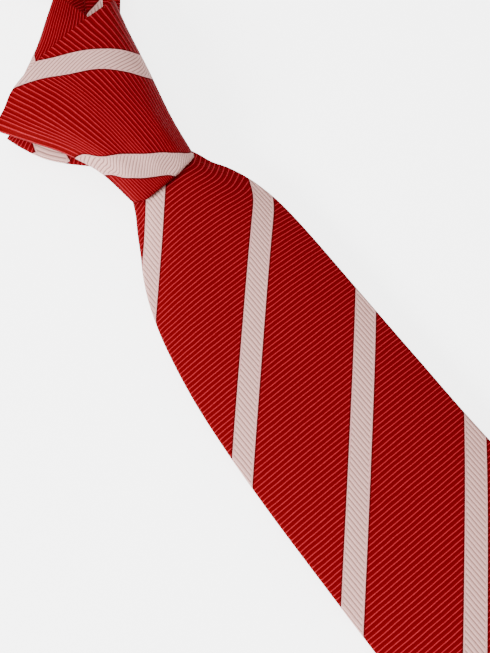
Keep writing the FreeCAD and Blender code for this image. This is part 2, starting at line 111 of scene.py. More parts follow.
def new_material(name):
    """A material, its node tree and its Principled BSDF."""
    material = bpy.data.materials.new(name)
    material.use_nodes = True
    return material, material.node_tree, material.node_tree.nodes["Principled BSDF"]


def aim(thing, place, target):
    away = (np.array(place) - np.array(target)).tolist()
    thing.location = place
    thing.rotation_mode = "QUATERNION"
    thing.rotation_quaternion = Vector(away).to_track_quat("Z", "Y")


table_mesh = bpy.data.meshes.new("table")
half = TABLE_SIZE / 2
corners = [(-half, -half), (half, -half), (half, half), (-half, half)]
table_mesh.from_pydata([(x, y, -TABLE_DROP) for x, y in corners], [], [(0, 1, 2, 3)])
table_top = link("table_top", table_mesh)
table_paint, table_tree, table_shader = new_material("table_paint")
sight = add_node(table_tree, "ShaderNodeLightPath", {}).outputs["Is Camera Ray"]
glow_parts = {0: sight, 1: TABLE_GLOW - TABLE_BOUNCE, 2: TABLE_BOUNCE}
glow = add_node(table_tree, "ShaderNodeMath", glow_parts, operation="MULTIPLY_ADD").outputs[0]
feed(table_tree, table_shader, {
    "Base Color": TABLE_WHITE,
    "Roughness": 0.8,
    "Emission Color": (1.0, 1.0, 1.0, 1.0),
    "Emission Strength": glow,
})
table_mesh.materials.append(table_paint)
table_top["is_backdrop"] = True

for lamp_name, place, size, power in LAMPS:
    light = bpy.data.lights.new(lamp_name, "AREA")
    light.shape = "DISK"
    light.size = size
    light.energy = power
    lamp = link(lamp_name, light)
    aim(lamp, (place[0], place[1] + MOUTH, place[2]), (0, MOUTH - 0.03, 0))

world = bpy.data.worlds.new("pale_room")
bpy.context.scene.world = world
world.use_nodes = True
background = world.node_tree.nodes["Background"]
feed(world.node_tree, background, {"Color": (1.0, 1.0, 1.0, 1.0), "Strength": 0.55})

camera = bpy.data.objects.new("camera", bpy.data.cameras.new("camera"))
bpy.context.scene.collection.objects.link(camera)
bpy.context.scene.camera = camera
camera.data.lens = 56.0
camera.data.sensor_width = 36.0
camera.data.clip_start = 0.01
camera_target = np.array([-0.010, MOUTH - 0.055, 0.008])
camera_back = np.array([
    math.sin(CAMERA_AZIMUTH) * math.cos(CAMERA_ELEVATION),
    -math.cos(CAMERA_AZIMUTH) * math.cos(CAMERA_ELEVATION),
    math.sin(CAMERA_ELEVATION),
])
aim(camera, (camera_target + CAMERA_DISTANCE * camera_back).tolist(), camera_target.tolist())

# ---- Front wrap ----
# The last turn of the wide blade round the knot: folded silk, laid from the left edge
# over the front to the right edge. Its cords run from the top fold down to the lip.
# Each row is one cord line, in mm from the mouth, after its cloth length and widths.
RIB = 1.42
STRIPE_REPEAT = 51.0
STRIPE_LEAD = 0.8
STRIPE_RUN = 8.4
KNOT_STRIPE_LEAD = 0.0
KNOT_STRIPE_RUN = 10.0
STRIPE_MARGIN = 4.0
STRIPE_EDGE_SOFT = 0.12
EDGE_THREAD_PLACE = 0.32
SATIN_LINE = 1.22
CORD_DRIFT = 0.3
CORD_DEPTH = 0.00017
STRIPE_SLANT = 1.053
SILK_RED = (0.135, 0.0002, 0.0018, 1.0)
# The cord colour is painted sheen: a lighter red laid along the crest of each cord.
SILK_CORD_SHEEN = (0.38, 0.018, 0.030, 1.0)
SILK_WHITE = (0.66, 0.38, 0.34, 1.0)
SILK_WHITE_LINE = (0.22, 0.108, 0.092, 1.0)
SILK_PINK = (0.66, 0.34, 0.32, 1.0)
SILK_DARK = (0.045, 0.0002, 0.0004, 1.0)
WRAP_THICK = 2.6
FRONT_WRAP = (
    # cloth length, cloth width at each point, then the points from the top fold to the lip
    (26.5, (0, 11, 21, 33, 47),
     (-26, 45.2, 12), (-22, 36, 11.5), (-15, 24, 11), (-10, 11, 10.5), (-9, 1.5, 10)),
    (24, (0, 11, 21.5, 34.4, 49),
     (-31.6, 46, 14.5), (-27.4, 37.8, 16), (-20.2, 25.4, 16.5), (-15, 13, 15.5), (-12.8, -0.6, 13.5)),
    (21, (0, 12, 24, 36.3, 51),
     (-29.4, 48.8, 16.5), (-25.4, 38, 19.8), (-18, 24, 20), (-13.4, 11, 18.5), (-11.8, -1.8, 16)),
    (17, (0, 12.5, 25, 37.8, 52.5),
     (-25.8, 50.6, 17.5), (-22.2, 38, 21.8), (-15.8, 23, 22), (-11.4, 9, 20), (-9.4, -3, 17)),
    (12, (0, 14.5, 27, 40, 53),
     (-20.5, 53.4, 19), (-16.8, 38, 23.6), (-12.8, 22, 23.6), (-9, 9, 21.5), (-6.4, -3.2, 17.5)),
    (5.2, (0, 16.5, 30, 43, 57),
     (-13, 54.8, 21), (-9, 38, 24.8), (-6.6, 24, 24.8), (-4.8, 9, 22), (-2.8, -3.2, 18)),
    (-2.8, (0, 17.5, 32.5, 47.5, 62),
     (-5.5, 56, 21.8), (-3, 39, 25.4), (-1, 24, 25.2), (0, 8, 22.5), (0.9, -3, 18)),
    (-9.5, (0, 17, 33, 48.5, 63.2),
     (2.6, 57.2, 22), (4.4, 41, 25.2), (5.2, 25, 25), (5.6, 10, 22.5), (5, -2.6, 18)),
    (-15.3, (0, 16, 32.5, 49, 66),
     (10, 58.2, 21.8), (11.2, 42, 24.4), (10.4, 26, 23.8), (9.2, 12, 22), (8.2, -1.8, 17.6)),
    (-20.5, (0, 14.5, 31, 50, 69),
     (18, 59, 21), (17.4, 44, 22.6), (15, 28, 22), (12.2, 13, 19.6), (10.8, -1, 16.4)),
    (-24.5, (0, 13, 31.5, 51, 72),
     (24.4, 60.2, 19), (21.8, 47, 19.6), (18.2, 30, 19.2), (14.4, 13, 17.2), (12.4, -0.2, 15)),
    (-28, (0, 13, 32, 52, 74),
     (27.8, 62.6, 15), (24.4, 50.5, 15), (20.4, 34, 15), (15.8, 16, 14), (13.3, 0.6, 12.5)),
    (-34, (0, 13, 30, 51, 74),
     (27.2, 62, 9), (24, 50, 8.4), (20, 33, 8), (15.4, 15, 8), (12.6, 1, 8)),
    (-44, (0, 13, 30, 51, 74),
     (19, 60, 5.4), (17, 47, 4.6), (14, 30, 4.4), (10, 13, 4.4), (7.6, 2, 4.6)),
)


def smooth_line(points, count):
    """Even samples of a smooth curve through the points, along the first axis."""
    points = np.asarray(points, float)
    before = 2 * points[:1] - points[1:2]
    after = 2 * points[-1:] - points[-2:-1]
    padded = np.concatenate([before, points, after])
    place = np.linspace(0, len(points) - 1, count)
    first = np.minimum(place.astype(int), len(points) - 2)
    t = (place - first).reshape((-1,) + (1,) * (points.ndim - 1))
    a, b, c, d = (padded[first + k] for k in range(4))
    square = 2 * a - 5 * b + 4 * c - d
    cube = 3 * b - a - 3 * c + d
    return 0.5 * (2 * b + (c - a) * t + square * t**2 + cube * t**3)


def grid_normals(grid):
    """The unit normal at each point of a grid of surface points."""
    along = np.gradient(grid, axis=0)
    across = np.gradient(grid, axis=1)
    normal = np.cross(across, along)
    return normal / np.maximum(np.linalg.norm(normal, axis=2, keepdims=True), 1e-9)


def arc(points, axis):
    """Length along the points from the first of them, in the points' own units."""
    steps = np.linalg.norm(np.diff(points, axis=axis), axis=2)
    zero = np.zeros_like(np.take(steps, [0], axis=axis))
    return np.cumsum(np.concatenate([zero, steps], axis=axis), axis=axis)


def grid_mesh(name, grid, u, v, closed):
    """A mesh from rows of points in mm from the mouth, with the cloth's own lengths as its UV."""
    if closed:
        grid, u, v = (np.concatenate([part, part[:, :1]], axis=1) for part in (grid, u, v))
        v[:, -1] = v[:, -2] + np.linalg.norm(grid[:, -1] - grid[:, -2], axis=1)
    rows, columns = grid.shape[:2]
    ring = columns - 1 if closed else columns
    place = grid[:, :ring].reshape(-1, 3) / 1000 + np.array([0, MOUTH, 0])
    faces = []
    cloth = []
    for i in range(rows - 1):
        for j in range(columns - 1):
            corners = ((i, j), (i, j + 1), (i + 1, j + 1), (i + 1, j))
            faces.append(tuple(row * ring + column % ring for row, column in corners))
            cloth.extend((u[corner], v[corner]) for corner in corners)
    sides = len(faces)
    if closed:
        for row, order in ((0, range(ring - 1, -1, -1)), (rows - 1, range(ring))):
            faces.append(tuple(row * ring + column for column in order))
            cloth.extend((u[row, column], v[row, column]) for column in order)
    quads = np.array([place[list(face[:4])] for face in faces[:sides]])
    facing = np.cross(quads[:, 1] - quads[:, 0], quads[:, 2] - quads[:, 0])
    volume = np.sum(facing * (quads[:, 0] - place.mean(0)))
    if closed and volume < 0:
        turned = []
        start = 0
        for face in faces:
            turned.extend(cloth[start:start + len(face)][::-1])
            start += len(face)
        faces = [face[::-1] for face in faces]
        cloth = turned
    mesh = bpy.data.meshes.new(name)
    mesh.from_pydata(place.tolist(), [], faces)
    mesh.uv_layers.new(name="cloth").data.foreach_set("uv", np.array(cloth, np.float32).ravel())
    mesh.polygons.foreach_set("use_smooth", [n < sides for n in range(len(faces))])
    mesh.update()
    return mesh


def flat_tube(name, front, normal, thick, lengths, widths=None, bend=5):
    """Folded cloth closed on itself: a front, two rolled edges, and a back behind it.

    The cloth's widths run on round both edges and meet at the middle of the back.
    """
    across = arc(front, 1) if widths is None else widths
    back = front - normal * thick
    turns = np.linspace(0, math.pi, bend + 2)[1:-1]
    rolls = []
    for edge, inner in ((0, 1), (-1, -2)):
        side = front[:, edge] - front[:, inner]
        side /= np.linalg.norm(side, axis=1, keepdims=True)
        middle = front[:, edge] - normal[:, edge] * thick / 2
        roll = []
        for t in turns:
            out = math.cos(t) * normal[:, edge] + math.sin(t) * side
            roll.append(middle + thick / 2 * out)
        rolls.append(np.stack(roll, axis=1))
    cut = front.shape[1] // 2
    before = np.concatenate([back[:, :cut][:, ::-1], rolls[0][:, ::-1]], axis=1)
    after = np.concatenate([rolls[1], back[:, cut:][:, ::-1]], axis=1)
    lead = arc(np.concatenate([front[:, :1], before[:, ::-1]], axis=1), 1)[:, 1:][:, ::-1]
    trail = arc(np.concatenate([front[:, -1:], after], axis=1), 1)[:, 1:]
    v = np.concatenate([across[:, :1] - lead, across, across[:, -1:] + trail], axis=1)
    loop = np.concatenate([before, front, after], axis=1)
    u = np.repeat(np.asarray(lengths)[:, None], loop.shape[1], axis=1)
    return grid_mesh(name, loop, u, v, True)


def strip_mesh(name, stations, thick, rows=60, columns=40):
    """Folded cloth through stations of (cloth length, [cloth widths,] points across)."""
    lengths = smooth_line(np.array([s[0] for s in stations], float)[:, None], rows)[:, 0]
    widths = None
    if len(stations[0][1]) != 3:
        coarse = smooth_line(np.array([s[1] for s in stations], float), rows)
        widths = smooth_line(coarse.T, columns).T
        stations = [(s[0],) + s[2:] for s in stations]
    front = smooth_line(np.array([s[1:] for s in stations], float), rows)
    front = np.swapaxes(smooth_line(np.swapaxes(front, 0, 1), columns), 0, 1)
    normal = grid_normals(front)
    if normal[rows // 2, columns // 2, 2] < 0:
        normal = -normal
    return flat_tube(name, front, normal, thick, lengths, widths)


def node_group(name, kind, inputs, outputs):
    """A node group with those sockets, its given values, and its end node."""
    tree = bpy.data.node_groups.new(name, kind)
    for data, title, value in inputs:
        made = tree.interface.new_socket(title, in_out="INPUT", socket_type="NodeSocket" + data)
        if value is not None:
            made.default_value = value
    for data, title in outputs:
        tree.interface.new_socket(title, in_out="OUTPUT", socket_type="NodeSocket" + data)
    given = tree.nodes.new("NodeGroupInput").outputs
    return tree, given, tree.nodes.new("NodeGroupOutput")


def math_node(tree, operation, *values, clamp=False):
    inputs = dict(enumerate(values))
    made = add_node(tree, "ShaderNodeMath", inputs, operation=operation, use_clamp=clamp)
    return made.outputs[0]


def ramp_step(tree, value, low, high):
    """0 below low, 1 above high, smooth between them."""
    inputs = {"Value": value, "From Min": low, "From Max": high}
    made = add_node(tree, "ShaderNodeMapRange", inputs, interpolation_type="SMOOTHSTEP")
    return made.outputs["Result"]


def mix_colour(tree, share, first, second):
    """The first colour turning into the second; a mix has its colours on inputs 6 and 7."""
    inputs = {0: share, 6: first, 7: second}
    return add_node(tree, "ShaderNodeMix", inputs, data_type="RGBA").outputs[2]


def noise_node(tree, place, scale, detail):
    inputs = {"Vector": place, "Scale": scale, "Detail": detail}
    return add_node(tree, "ShaderNodeTexNoise", inputs).outputs["Fac"]


def finish_cloth(tree, shader, weave, strength, depth, surface):
    """Gives the shader the weave's colour, its relief and those surface values."""
    relief = {"Strength": strength, "Distance": depth, "Height": weave.outputs["Height"]}
    normal = add_node(tree, "ShaderNodeBump", relief).outputs["Normal"]
    feed(tree, shader, {"Base Color": weave.outputs["Color"], "Normal": normal, **surface})


def make_piece(name, mesh, material, node, body=None):
    """A piece with that mesh and material, in place of that CAD node."""
    mesh.materials.append(material)
    piece = link(name, mesh)
    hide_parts(node)
    if body:
        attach(piece, body)
    return piece


# Corded silk: red cords across the strip with a thin painted sheen line on the crest of each, and
# white satin stripes woven in on the slant, with a pink and then a dark thread at their edges.
corded, given, corded_end = node_group("corded_silk", "ShaderNodeTree", (
    ("Vector", "Cloth", None),
    ("Float", "Rib", RIB),
    ("Float", "Repeat", STRIPE_REPEAT),
    ("Float", "Lead", STRIPE_LEAD),
    ("Float", "Run", STRIPE_RUN),
    ("Float", "Slant", STRIPE_SLANT),
    ("Color", "Ground", SILK_RED),
    ("Color", "Cord", SILK_CORD_SHEEN),
    ("Color", "Stripe", SILK_WHITE),
    ("Color", "Stripe Line", SILK_WHITE_LINE),
    ("Color", "Edge Thread", SILK_PINK),
    ("Color", "Border", SILK_DARK),
), (("Color", "Color"), ("Float", "Roughness"), ("Float", "Height")))
parts = add_node(corded, "ShaderNodeSeparateXYZ", {0: given["Cloth"]})


def silk_math(operation, *values, clamp=False):
    return math_node(corded, operation, *values, clamp=clamp)


def silk_band(value, low, high):
    """1 where the value is below low, 0 where it is above high."""
    return silk_math("SUBTRACT", 1.0, ramp_step(corded, value, low, high))


wobble = silk_math("SUBTRACT", noise_node(corded, given["Cloth"], 0.16, 1.0), 0.5)
drift = silk_math("MULTIPLY", wobble, CORD_DRIFT)
along = silk_math("ADD", parts.outputs["X"], drift)
across = silk_math("ADD", parts.outputs["Y"], drift)

# Where a point lies in the stripes' repeat, and how near it is to a stripe's edge.
slant = silk_math("MULTIPLY", parts.outputs["Y"], given["Slant"])
slanted = silk_math("ADD", silk_math("ADD", parts.outputs["X"], slant), STRIPE_MARGIN)
repeat_place = silk_math("FLOORED_MODULO", slanted, given["Repeat"])
past_start = silk_math("SUBTRACT", repeat_place, silk_math("ADD", given["Lead"], STRIPE_MARGIN))
past_end = silk_math("SUBTRACT", past_start, given["Run"])
before_end = silk_math("MULTIPLY", past_end, -1.0)
started = ramp_step(corded, past_start, -STRIPE_EDGE_SOFT, STRIPE_EDGE_SOFT)
not_ended = ramp_step(corded, before_end, -STRIPE_EDGE_SOFT, STRIPE_EDGE_SOFT)
in_stripe = silk_math("MULTIPLY", started, not_ended)
start_side = silk_math("ABSOLUTE", silk_math("ADD", past_start, EDGE_THREAD_PLACE))
end_side = silk_math("ABSOLUTE", silk_math("SUBTRACT", past_end, EDGE_THREAD_PLACE))
edge_gap = silk_math("MINIMUM", start_side, end_side)
edge_thread = silk_band(edge_gap, 0.22, 0.50)
border = silk_band(edge_gap, 0.70, 1.35)

# The cords, and a painted sheen line along the crest of each, which comes and goes from pick to pick.
cord_count = silk_math("DIVIDE", along, given["Rib"])
cord_place = silk_math("FRACT", cord_count)
cord_middle = silk_math("ABSOLUTE", silk_math("SUBTRACT", cord_place, 0.5))
# Painted sheen: a thin lighter line along the crest of each cord.
cord_sheen_line = silk_band(cord_middle, 0.05, 0.15)
own_row = silk_math("MULTIPLY", silk_math("FLOOR", cord_count), 7.3)
own_picks = silk_math("MULTIPLY", parts.outputs["Y"], 5.2)
picks_place = add_node(corded, "ShaderNodeCombineXYZ", {"X": own_row, "Y": own_picks})
picks = noise_node(corded, picks_place.outputs[0], 0.5, 1.0)
sheen_pick_share = silk_math("ADD", 0.25, silk_math("MULTIPLY", picks, 0.95))
cord_sheen_share = silk_math("MULTIPLY", cord_sheen_line, sheen_pick_share, clamp=True)
grain = noise_node(corded, given["Cloth"], 3.4, 3.0)
grain_shade = silk_math("MULTIPLY", grain, 0.45)
ground = mix_colour(corded, grain_shade, given["Ground"], given["Border"])
# Paints the sheen line on each cord's crest in the lighter red.
red = mix_colour(corded, cord_sheen_share, ground, given["Cord"])
red = mix_colour(corded, silk_math("MULTIPLY", border, 0.75), red, given["Border"])

# The white satin, with a fine shaded line between its threads.
line_place = silk_math("FRACT", silk_math("DIVIDE", across, SATIN_LINE))
line_middle = silk_math("ABSOLUTE", silk_math("SUBTRACT", line_place, 0.5))
line_share = silk_math("MULTIPLY", silk_band(line_middle, 0.05, 0.26), 0.85)
white = mix_colour(corded, line_share, given["Stripe"], given["Stripe Line"])
both = mix_colour(corded, in_stripe, red, white)
edge_share = silk_math("MULTIPLY", edge_thread, 0.9)
both = mix_colour(corded, edge_share, both, given["Edge Thread"])

# Round cords and shallow satin lines, with a fine unevenness over both.
cord_height = silk_math("SUBTRACT", 0.25, silk_math("POWER", cord_middle, 2.0))
cord_round = silk_math("MULTIPLY", cord_height, 3.4)
satin_round = silk_math("MULTIPLY", silk_math("POWER", line_middle, 1.3), 1.6)
red_height = silk_math("MULTIPLY", cord_round, silk_math("SUBTRACT", 1.0, in_stripe))
white_height = silk_math("MULTIPLY", satin_round, in_stripe)
uneven = silk_math("MULTIPLY", noise_node(corded, given["Cloth"], 6.0, 2.0), 0.14)
cloth_height = silk_math("ADD", silk_math("ADD", red_height, white_height), uneven)
shine = silk_math("MULTIPLY", cord_sheen_share, -0.12)
dullness = silk_math("ADD", shine, silk_math("MULTIPLY", grain, 0.10))
cloth_roughness = silk_math("ADD", 0.50, dullness)
feed(corded, corded_end, {"Color": both, "Roughness": cloth_roughness, "Height": cloth_height})


def silk_material(name, lead, run):
    """The silk, with its stripes starting and ending at those lengths."""
    material, tree, shader = new_material(name)
    cloth = add_node(tree, "ShaderNodeUVMap", {}, uv_map="cloth").outputs["UV"]
    weave_inputs = {"Cloth": cloth, "Lead": lead, "Run": run}
    weave = add_node(tree, "ShaderNodeGroup", weave_inputs, node_tree=corded)
    finish_cloth(tree, shader, weave, 0.9, CORD_DEPTH, {
        "Roughness": weave.outputs["Roughness"],
        "Specular IOR Level": 0.02,
        "Specular Tint": (1.0, 0.45, 0.42, 1.0),
    })
    return material


# The stripes are a little wider in the knot, where the cloth is pulled on the bias.
silk = silk_material("corded_silk", STRIPE_LEAD, STRIPE_RUN)
knot_silk = silk_material("corded_silk_in_knot", KNOT_STRIPE_LEAD, KNOT_STRIPE_RUN)


def silk_pass(name, stations, thick, node, body, rows=60, columns=36):
    """One pass of the folded silk in the knot, in place of that CAD node."""
    mesh = strip_mesh(name, stations, thick, rows, columns)
    piece = make_piece(name, mesh, knot_silk, node, body)
    return piece


silk_pass("front_wrap_silk", FRONT_WRAP, WRAP_THICK, "front_wrap", "knot", 120, 72)

# ---- Over pass ----
# The same blade one turn earlier: it comes up behind the knot, turns over the top edge
# and goes down under the front wrap. Its cords run with the turned edge.
OVER_PASS = (
    (-14, (-12.5, 52, 5.5), (-4.5, 57.5, 5.5), (3, 63.5, 5.5), (9, 69, 5.5)),
    (-8.5, (-15, 56, 8.5), (-5.4, 62.2, 8.5), (3.8, 69.3, 8.5), (10.8, 75.3, 8.5)),
    (-3, (-15.6, 57.2, 13.5), (-4.4, 64.4, 13.5), (5.2, 71.8, 13.5), (12, 77.6, 13)),
    (2.5, (-13.6, 56.6, 18), (-3.4, 62.6, 18.8), (5.2, 69.2, 19.4), (12.3, 75.3, 18.2)),
    (9, (-10.6, 53.8, 18.6), (-0.8, 59.6, 19.6), (6.8, 65.8, 20.2), (13, 71.6, 19.2)),
    (16, (-6, 50, 16.6), (2.2, 56.4, 18.8), (9, 62, 19.8), (14.1, 67.3, 19)),
    (22.5, (0, 46, 15.6), (6, 51.4, 16.4), (11.4, 57.6, 18.4), (15.2, 62.2, 18.6)),
    (29, (6, 41, 14.6), (11, 46.4, 15), (14.6, 52.2, 15.4), (16.8, 57, 16.4)),
)
silk_pass("over_pass_silk", OVER_PASS, WRAP_THICK, "over_pass", "knot", 70, 50)

# ---- Inner wrap, back wrap and the passes inside the knot ----
# Earlier turns of the blade and tail. The inner wrap shows in the gap under the rolled
# left edge, and the back wrap lies on the table.
INNER_WRAP = (
    (-15, (0, -4, -11, -19),
     (-8.6, 17.6, 6.4), (-5.2, 20.1, 8), (0.8, 24.1, 9.2), (7.8, 28.6, 9.2)),
    (-7.5, (0, -4, -11, -19),
     (-13.8, 22.6, 6.6), (-10.2, 25.1, 8.2), (-4.2, 29.1, 9.8), (2.8, 33.6, 9.8)),
    (0, (0, -4, -11, -19),
     (-19.1, 27.8, 6.8), (-15.7, 30.1, 8.6), (-9.7, 34.1, 10.2), (-2.7, 38.6, 10.2)),
    (6.8, (0, -4, -11, -19),
     (-23.3, 33, 6.8), (-19.7, 35.1, 8.7), (-13.7, 38.6, 10.4), (-6.7, 42.1, 10.2)),
    (11.6, (0, -4, -11, -19),
     (-26, 37.9, 7), (-22.2, 39.5, 8.8), (-16.2, 42, 10.6), (-9.2, 44.5, 10.2)),
    (17.5, (0, -4, -11, -19),
     (-28.2, 43.4, 7), (-24.4, 44.2, 8.8), (-18.2, 45.7, 10.6), (-11.2, 47.2, 10.2)),
    (23, (0, -4, -11, -19),
     (-29.6, 47.6, 7), (-26.2, 47.6, 8.8), (-19.7, 48.4, 10.2), (-12.7, 49.8, 10)),
)
BACK_WRAP = (
    (0, (-21, 46, 6.6), (-16, 34, 6.8), (-9.5, 19, 7), (-6, 3.5, 7)),
    (5, (-24.5, 46.8, 3.6), (-18.5, 34, 3.4), (-11.5, 19, 3.4), (-7.6, 3, 3.4)),
    (11, (-20.5, 48.8, 0.7), (-14.5, 35, 0.5), (-8, 19, 0.5), (-4.6, 2.8, 0.5)),
    (30, (-1, 52.5, 0.5), (0, 37, 0.4), (1, 20, 0.4), (1, 2.4, 0.5)),
    (50, (19.5, 57, 0.7), (16, 40, 0.5), (11, 22, 0.5), (7, 2.8, 0.5)),
    (57, (24.4, 58.5, 3.6), (20, 41, 3.4), (15, 23, 3.4), (10.4, 3, 3.4)),
    (63, (21.5, 57.4, 6.4), (17, 40, 6.2), (12.4, 22, 6.2), (8.4, 3.4, 6.2)),
)
TAIL_PASS = (
    (0, (-7.5, -9, 3.2), (0, -9, 3.4), (7, -9, 3.2)),
    (20, (-7.5, 8, 8), (0.5, 8, 8.3), (8, 8, 8)),
    (36, (-7.5, 26, 8), (1, 26, 8.4), (9.5, 26, 8)),
    (62, (-6, 50, 8), (3, 50, 8.4), (12, 50, 8)),
)
BLADE_PASS = (
    (0, (-8.5, 4, 15), (0, 4, 15.8), (8.5, 4, 15)),
    (22, (-12.5, 22, 16.4), (-1, 22, 17), (11, 22, 16.4)),
    (50, (-14, 46, 15.8), (-1, 46, 16), (12, 46, 15.8)),
)
for pass_name, rows_of_pass, thick, cut, node in (
    ("inner_wrap_silk", INNER_WRAP, 2.2, (0.020, 0.046), "inner_wrap"),
    ("back_wrap_silk", BACK_WRAP, -2.8, (0.050, 0.062), "back_wrap"),
    ("blade_pass_silk", BLADE_PASS, 2.6, (0.026, 0.046), "blade_pass"),
):
    silk_pass(pass_name, rows_of_pass, thick, node, "knot")

tail_pass = silk_pass("tail_pass_silk", TAIL_PASS, 2.4, "tail_pass", None, 50, 24)
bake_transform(tail_pass)

# ---- Blade ----
# The wide end: a silk sheet folded round wool, its two flaps meeting down the back. It
# is gathered in the mouth, flares to full width and ends in a square-cut point.
SILK_THICK = 0.5
SEAM_GAP = 0.12
CROWN_POWER = 2.6
GATHER_ARCH = 2.0
GATHER_REACH = 55.0
CREASE_START = 9.6
CREASE_SPREAD = 0.42
CREASE_SOFT = 6.0
CREASE_REACH = 34.0
ROW_SPACING = 1.5
BLADE_TIP = 455.0
BLADE_ROWS = (
    # from the mouth, left edge, right edge, crown height, edge height, underside
    (5, -10.5, 13, 14.2, 12.5, 9.6),
    (0, -12.4, 15.4, 15.2, 12.3, 8.6),
    (-4, -14.4, 17.2, 15, 11.3, 7.4),
    (-9, -17.6, 20.6, 14.2, 10.2, 6.4),
    (-15, -21, 23.3, 13.2, 9.2, 5.8),
    (-22, -25.2, 25.2, 12.2, 8.4, 5.5),
    (-31, -29.3, 26.4, 11.2, 7.8, 5.3),
    (-45, -33.6, 26.7, 10.2, 7.4, 5.2),
    (-67, -37.7, 26.3, 9.8, 7.2, 5.2),
    (-96, -40.3, 25.8, 9.6, 7.2, 5.2),
    (-130, -41.8, 25.5, 9.6, 7.2, 5.2),
    (-180, -43.3, 27.4, 9.6, 7.2, 5.2),
    (-260, -45.3, 31, 9.6, 7.2, 5.2),
    (-340, -47.2, 34.2, 9.6, 7.2, 5.2),
    (-412.5, -48.5, 36.5, 9.4, 7.2, 5.2),
)


def shell_rows(rows_of_piece, spacing):
    """Rows of sizes at an even spacing down the piece, smooth between the given ones."""
    table = np.array(rows_of_piece, float)
    down = -table[:, 0]
    places = np.arange(down[0], down[-1] + spacing * 0.5, spacing)
    fine = smooth_line(table, 40 * (len(table) - 1) + 1)
    columns = [np.interp(places, -fine[:, 0], fine[:, k]) for k in range(1, table.shape[1])]
    return places, np.stack(columns, axis=1)


def point_rows(last, shoulder, tip, spacing):
    """Where each row of a pointed end lies, and its sizes, narrowing to the tip."""
    centre = (last[0] + last[1]) / 2
    width = (last[1] - last[0]) / 2
    steps = np.concatenate([np.arange(spacing, width, spacing), [width - 0.5, width - 0.12]])
    steps = np.unique(np.round(steps[steps < width - 0.1], 4))
    rows = []
    for step in steps:
        share = 1 - step / width
        half_width = width * share
        crown = last[4] + (last[2] - last[4]) * min(1.0, share * 8 + 0.35)
        edge = min(crown, last[3])
        rows.append([centre - half_width, centre + half_width, crown, edge, last[4]])
    return shoulder + (tip - shoulder) / width * steps, np.array(rows)


def rolled_edge(middle, side, flat, roll, under, turn):
    """The roll at one edge, from the front down to the back. The side is 1 or -1."""
    angle = np.linspace(0, math.pi, turn + 2)[1:-1]
    x = middle + side * (flat + roll * np.sin(angle))
    z = under + roll + roll * np.cos(angle)
    return np.stack([x, z], axis=1)


def shell_section(row, inner, front, flap, turn):
    """A section across the folded cloth, from one flap's free edge round to the other's."""
    left, right, crown, edge, under = row
    middle = (left + right) / 2
    half_width = (right - left) / 2
    roll = max(0.10, min((edge - under) / 2, half_width * 0.45))
    flat = half_width - roll
    rim = under + 2 * roll
    t = np.linspace(-1, 1, front)
    face_height = crown - (crown - rim) * np.abs(t) ** CROWN_POWER
    face = np.stack([middle + t * flat, face_height], axis=1)
    back_x = np.linspace(flat, min(inner, flat * 0.98), flap)
    right_flap = np.stack([middle + back_x, np.full(flap, under)], axis=1)
    left_flap = np.stack([middle - back_x, np.full(flap, under)], axis=1)[::-1]
    right_roll = rolled_edge(middle, 1, flat, roll, under, turn)
    left_roll = rolled_edge(middle, -1, flat, roll, under, turn)[::-1]
    return np.concatenate([left_flap, left_roll, face, right_roll, right_flap])


def gathered_length(x, y, middle, half_width, gather):
    """Cloth length across a row: it arches where the mouth gathers it, and has a crease."""
    share = np.clip((x - middle) / half_width, -1, 1)
    near = np.clip(1 - max(y, 0) / GATHER_REACH, 0, 1)
    past_crease = x - (CREASE_START + CREASE_SPREAD * max(y, 0))
    crease = 0.5 * (past_crease + np.sqrt(past_crease**2 + CREASE_SOFT))
    pull = crease * np.clip(1 - max(y, 0) / CREASE_REACH, 0, 1)
    return y + gather * (pull - GATHER_ARCH * near * share**2)


def folded_shell(name, rows_of_piece, tip, hem, apex, cloth_start, gather, detail):
    """A sheet folded round its core, with back flaps that meet down the middle.

    The flaps part at the apex and stand back by the hem's width along the point. The
    detail is the count of points across the front, each flap and each rolled edge.
    """
    down, sizes = shell_rows(rows_of_piece, ROW_SPACING)
    shoulder, last = down[-1], sizes[-1]
    width = (last[1] - last[0]) / 2
    point_down, point_sizes = point_rows(last, shoulder, tip, ROW_SPACING)
    down = np.concatenate([down, point_down])
    sizes = np.concatenate([sizes, point_sizes])
    front, flap, turn = detail
    grid = []
    lengths = []
    across = []
    for y, row in zip(down, sizes):
        middle = (row[0] + row[1]) / 2
        half_width = (row[1] - row[0]) / 2
        if y < apex:
            inner = SEAM_GAP
        elif y < shoulder:
            inner = SEAM_GAP + (width - hem) * (y - apex) / (shoulder - apex)
        else:
            inner = max(SEAM_GAP, half_width - hem)
        section = shell_section(row, inner, front, flap, turn)
        level = np.full(len(section), -y)
        grid.append(np.stack([section[:, 0], level, section[:, 1]], axis=1))
        steps = np.linalg.norm(np.diff(section, axis=0), axis=1)
        v = np.concatenate([[0], np.cumsum(steps)])
        across.append(v + middle - v[flap + turn + front // 2])
        length = gathered_length(section[:, 0], y, middle, half_width, gather)
        lengths.append(cloth_start + length)
    turned = [np.array(part)[:, ::-1] for part in (grid, lengths, across)]
    return grid_mesh(name, *turned, False)


def give_wall(piece, thick):
    """Turns a sheet into cloth of that thickness, inwards from the face it has."""
    wall = piece.modifiers.new("wall", "SOLIDIFY")
    wall.thickness = thick
    wall.offset = -1.0
    wall.use_even_offset = True
    graph = bpy.context.evaluated_depsgraph_get()
    solid = bpy.data.meshes.new_from_object(piece.evaluated_get(graph))
    piece.modifiers.clear()
    piece.data = solid
    return piece


blade_mesh = folded_shell("blade_silk", BLADE_ROWS, BLADE_TIP, 17.0, 305.0, 7.7, 1.0, (49, 15, 6))
blade_mesh.materials.append(silk)
blade = link("blade_silk", blade_mesh)
give_wall(blade, SILK_THICK / 1000)
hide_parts("blade_shell")
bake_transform(blade)

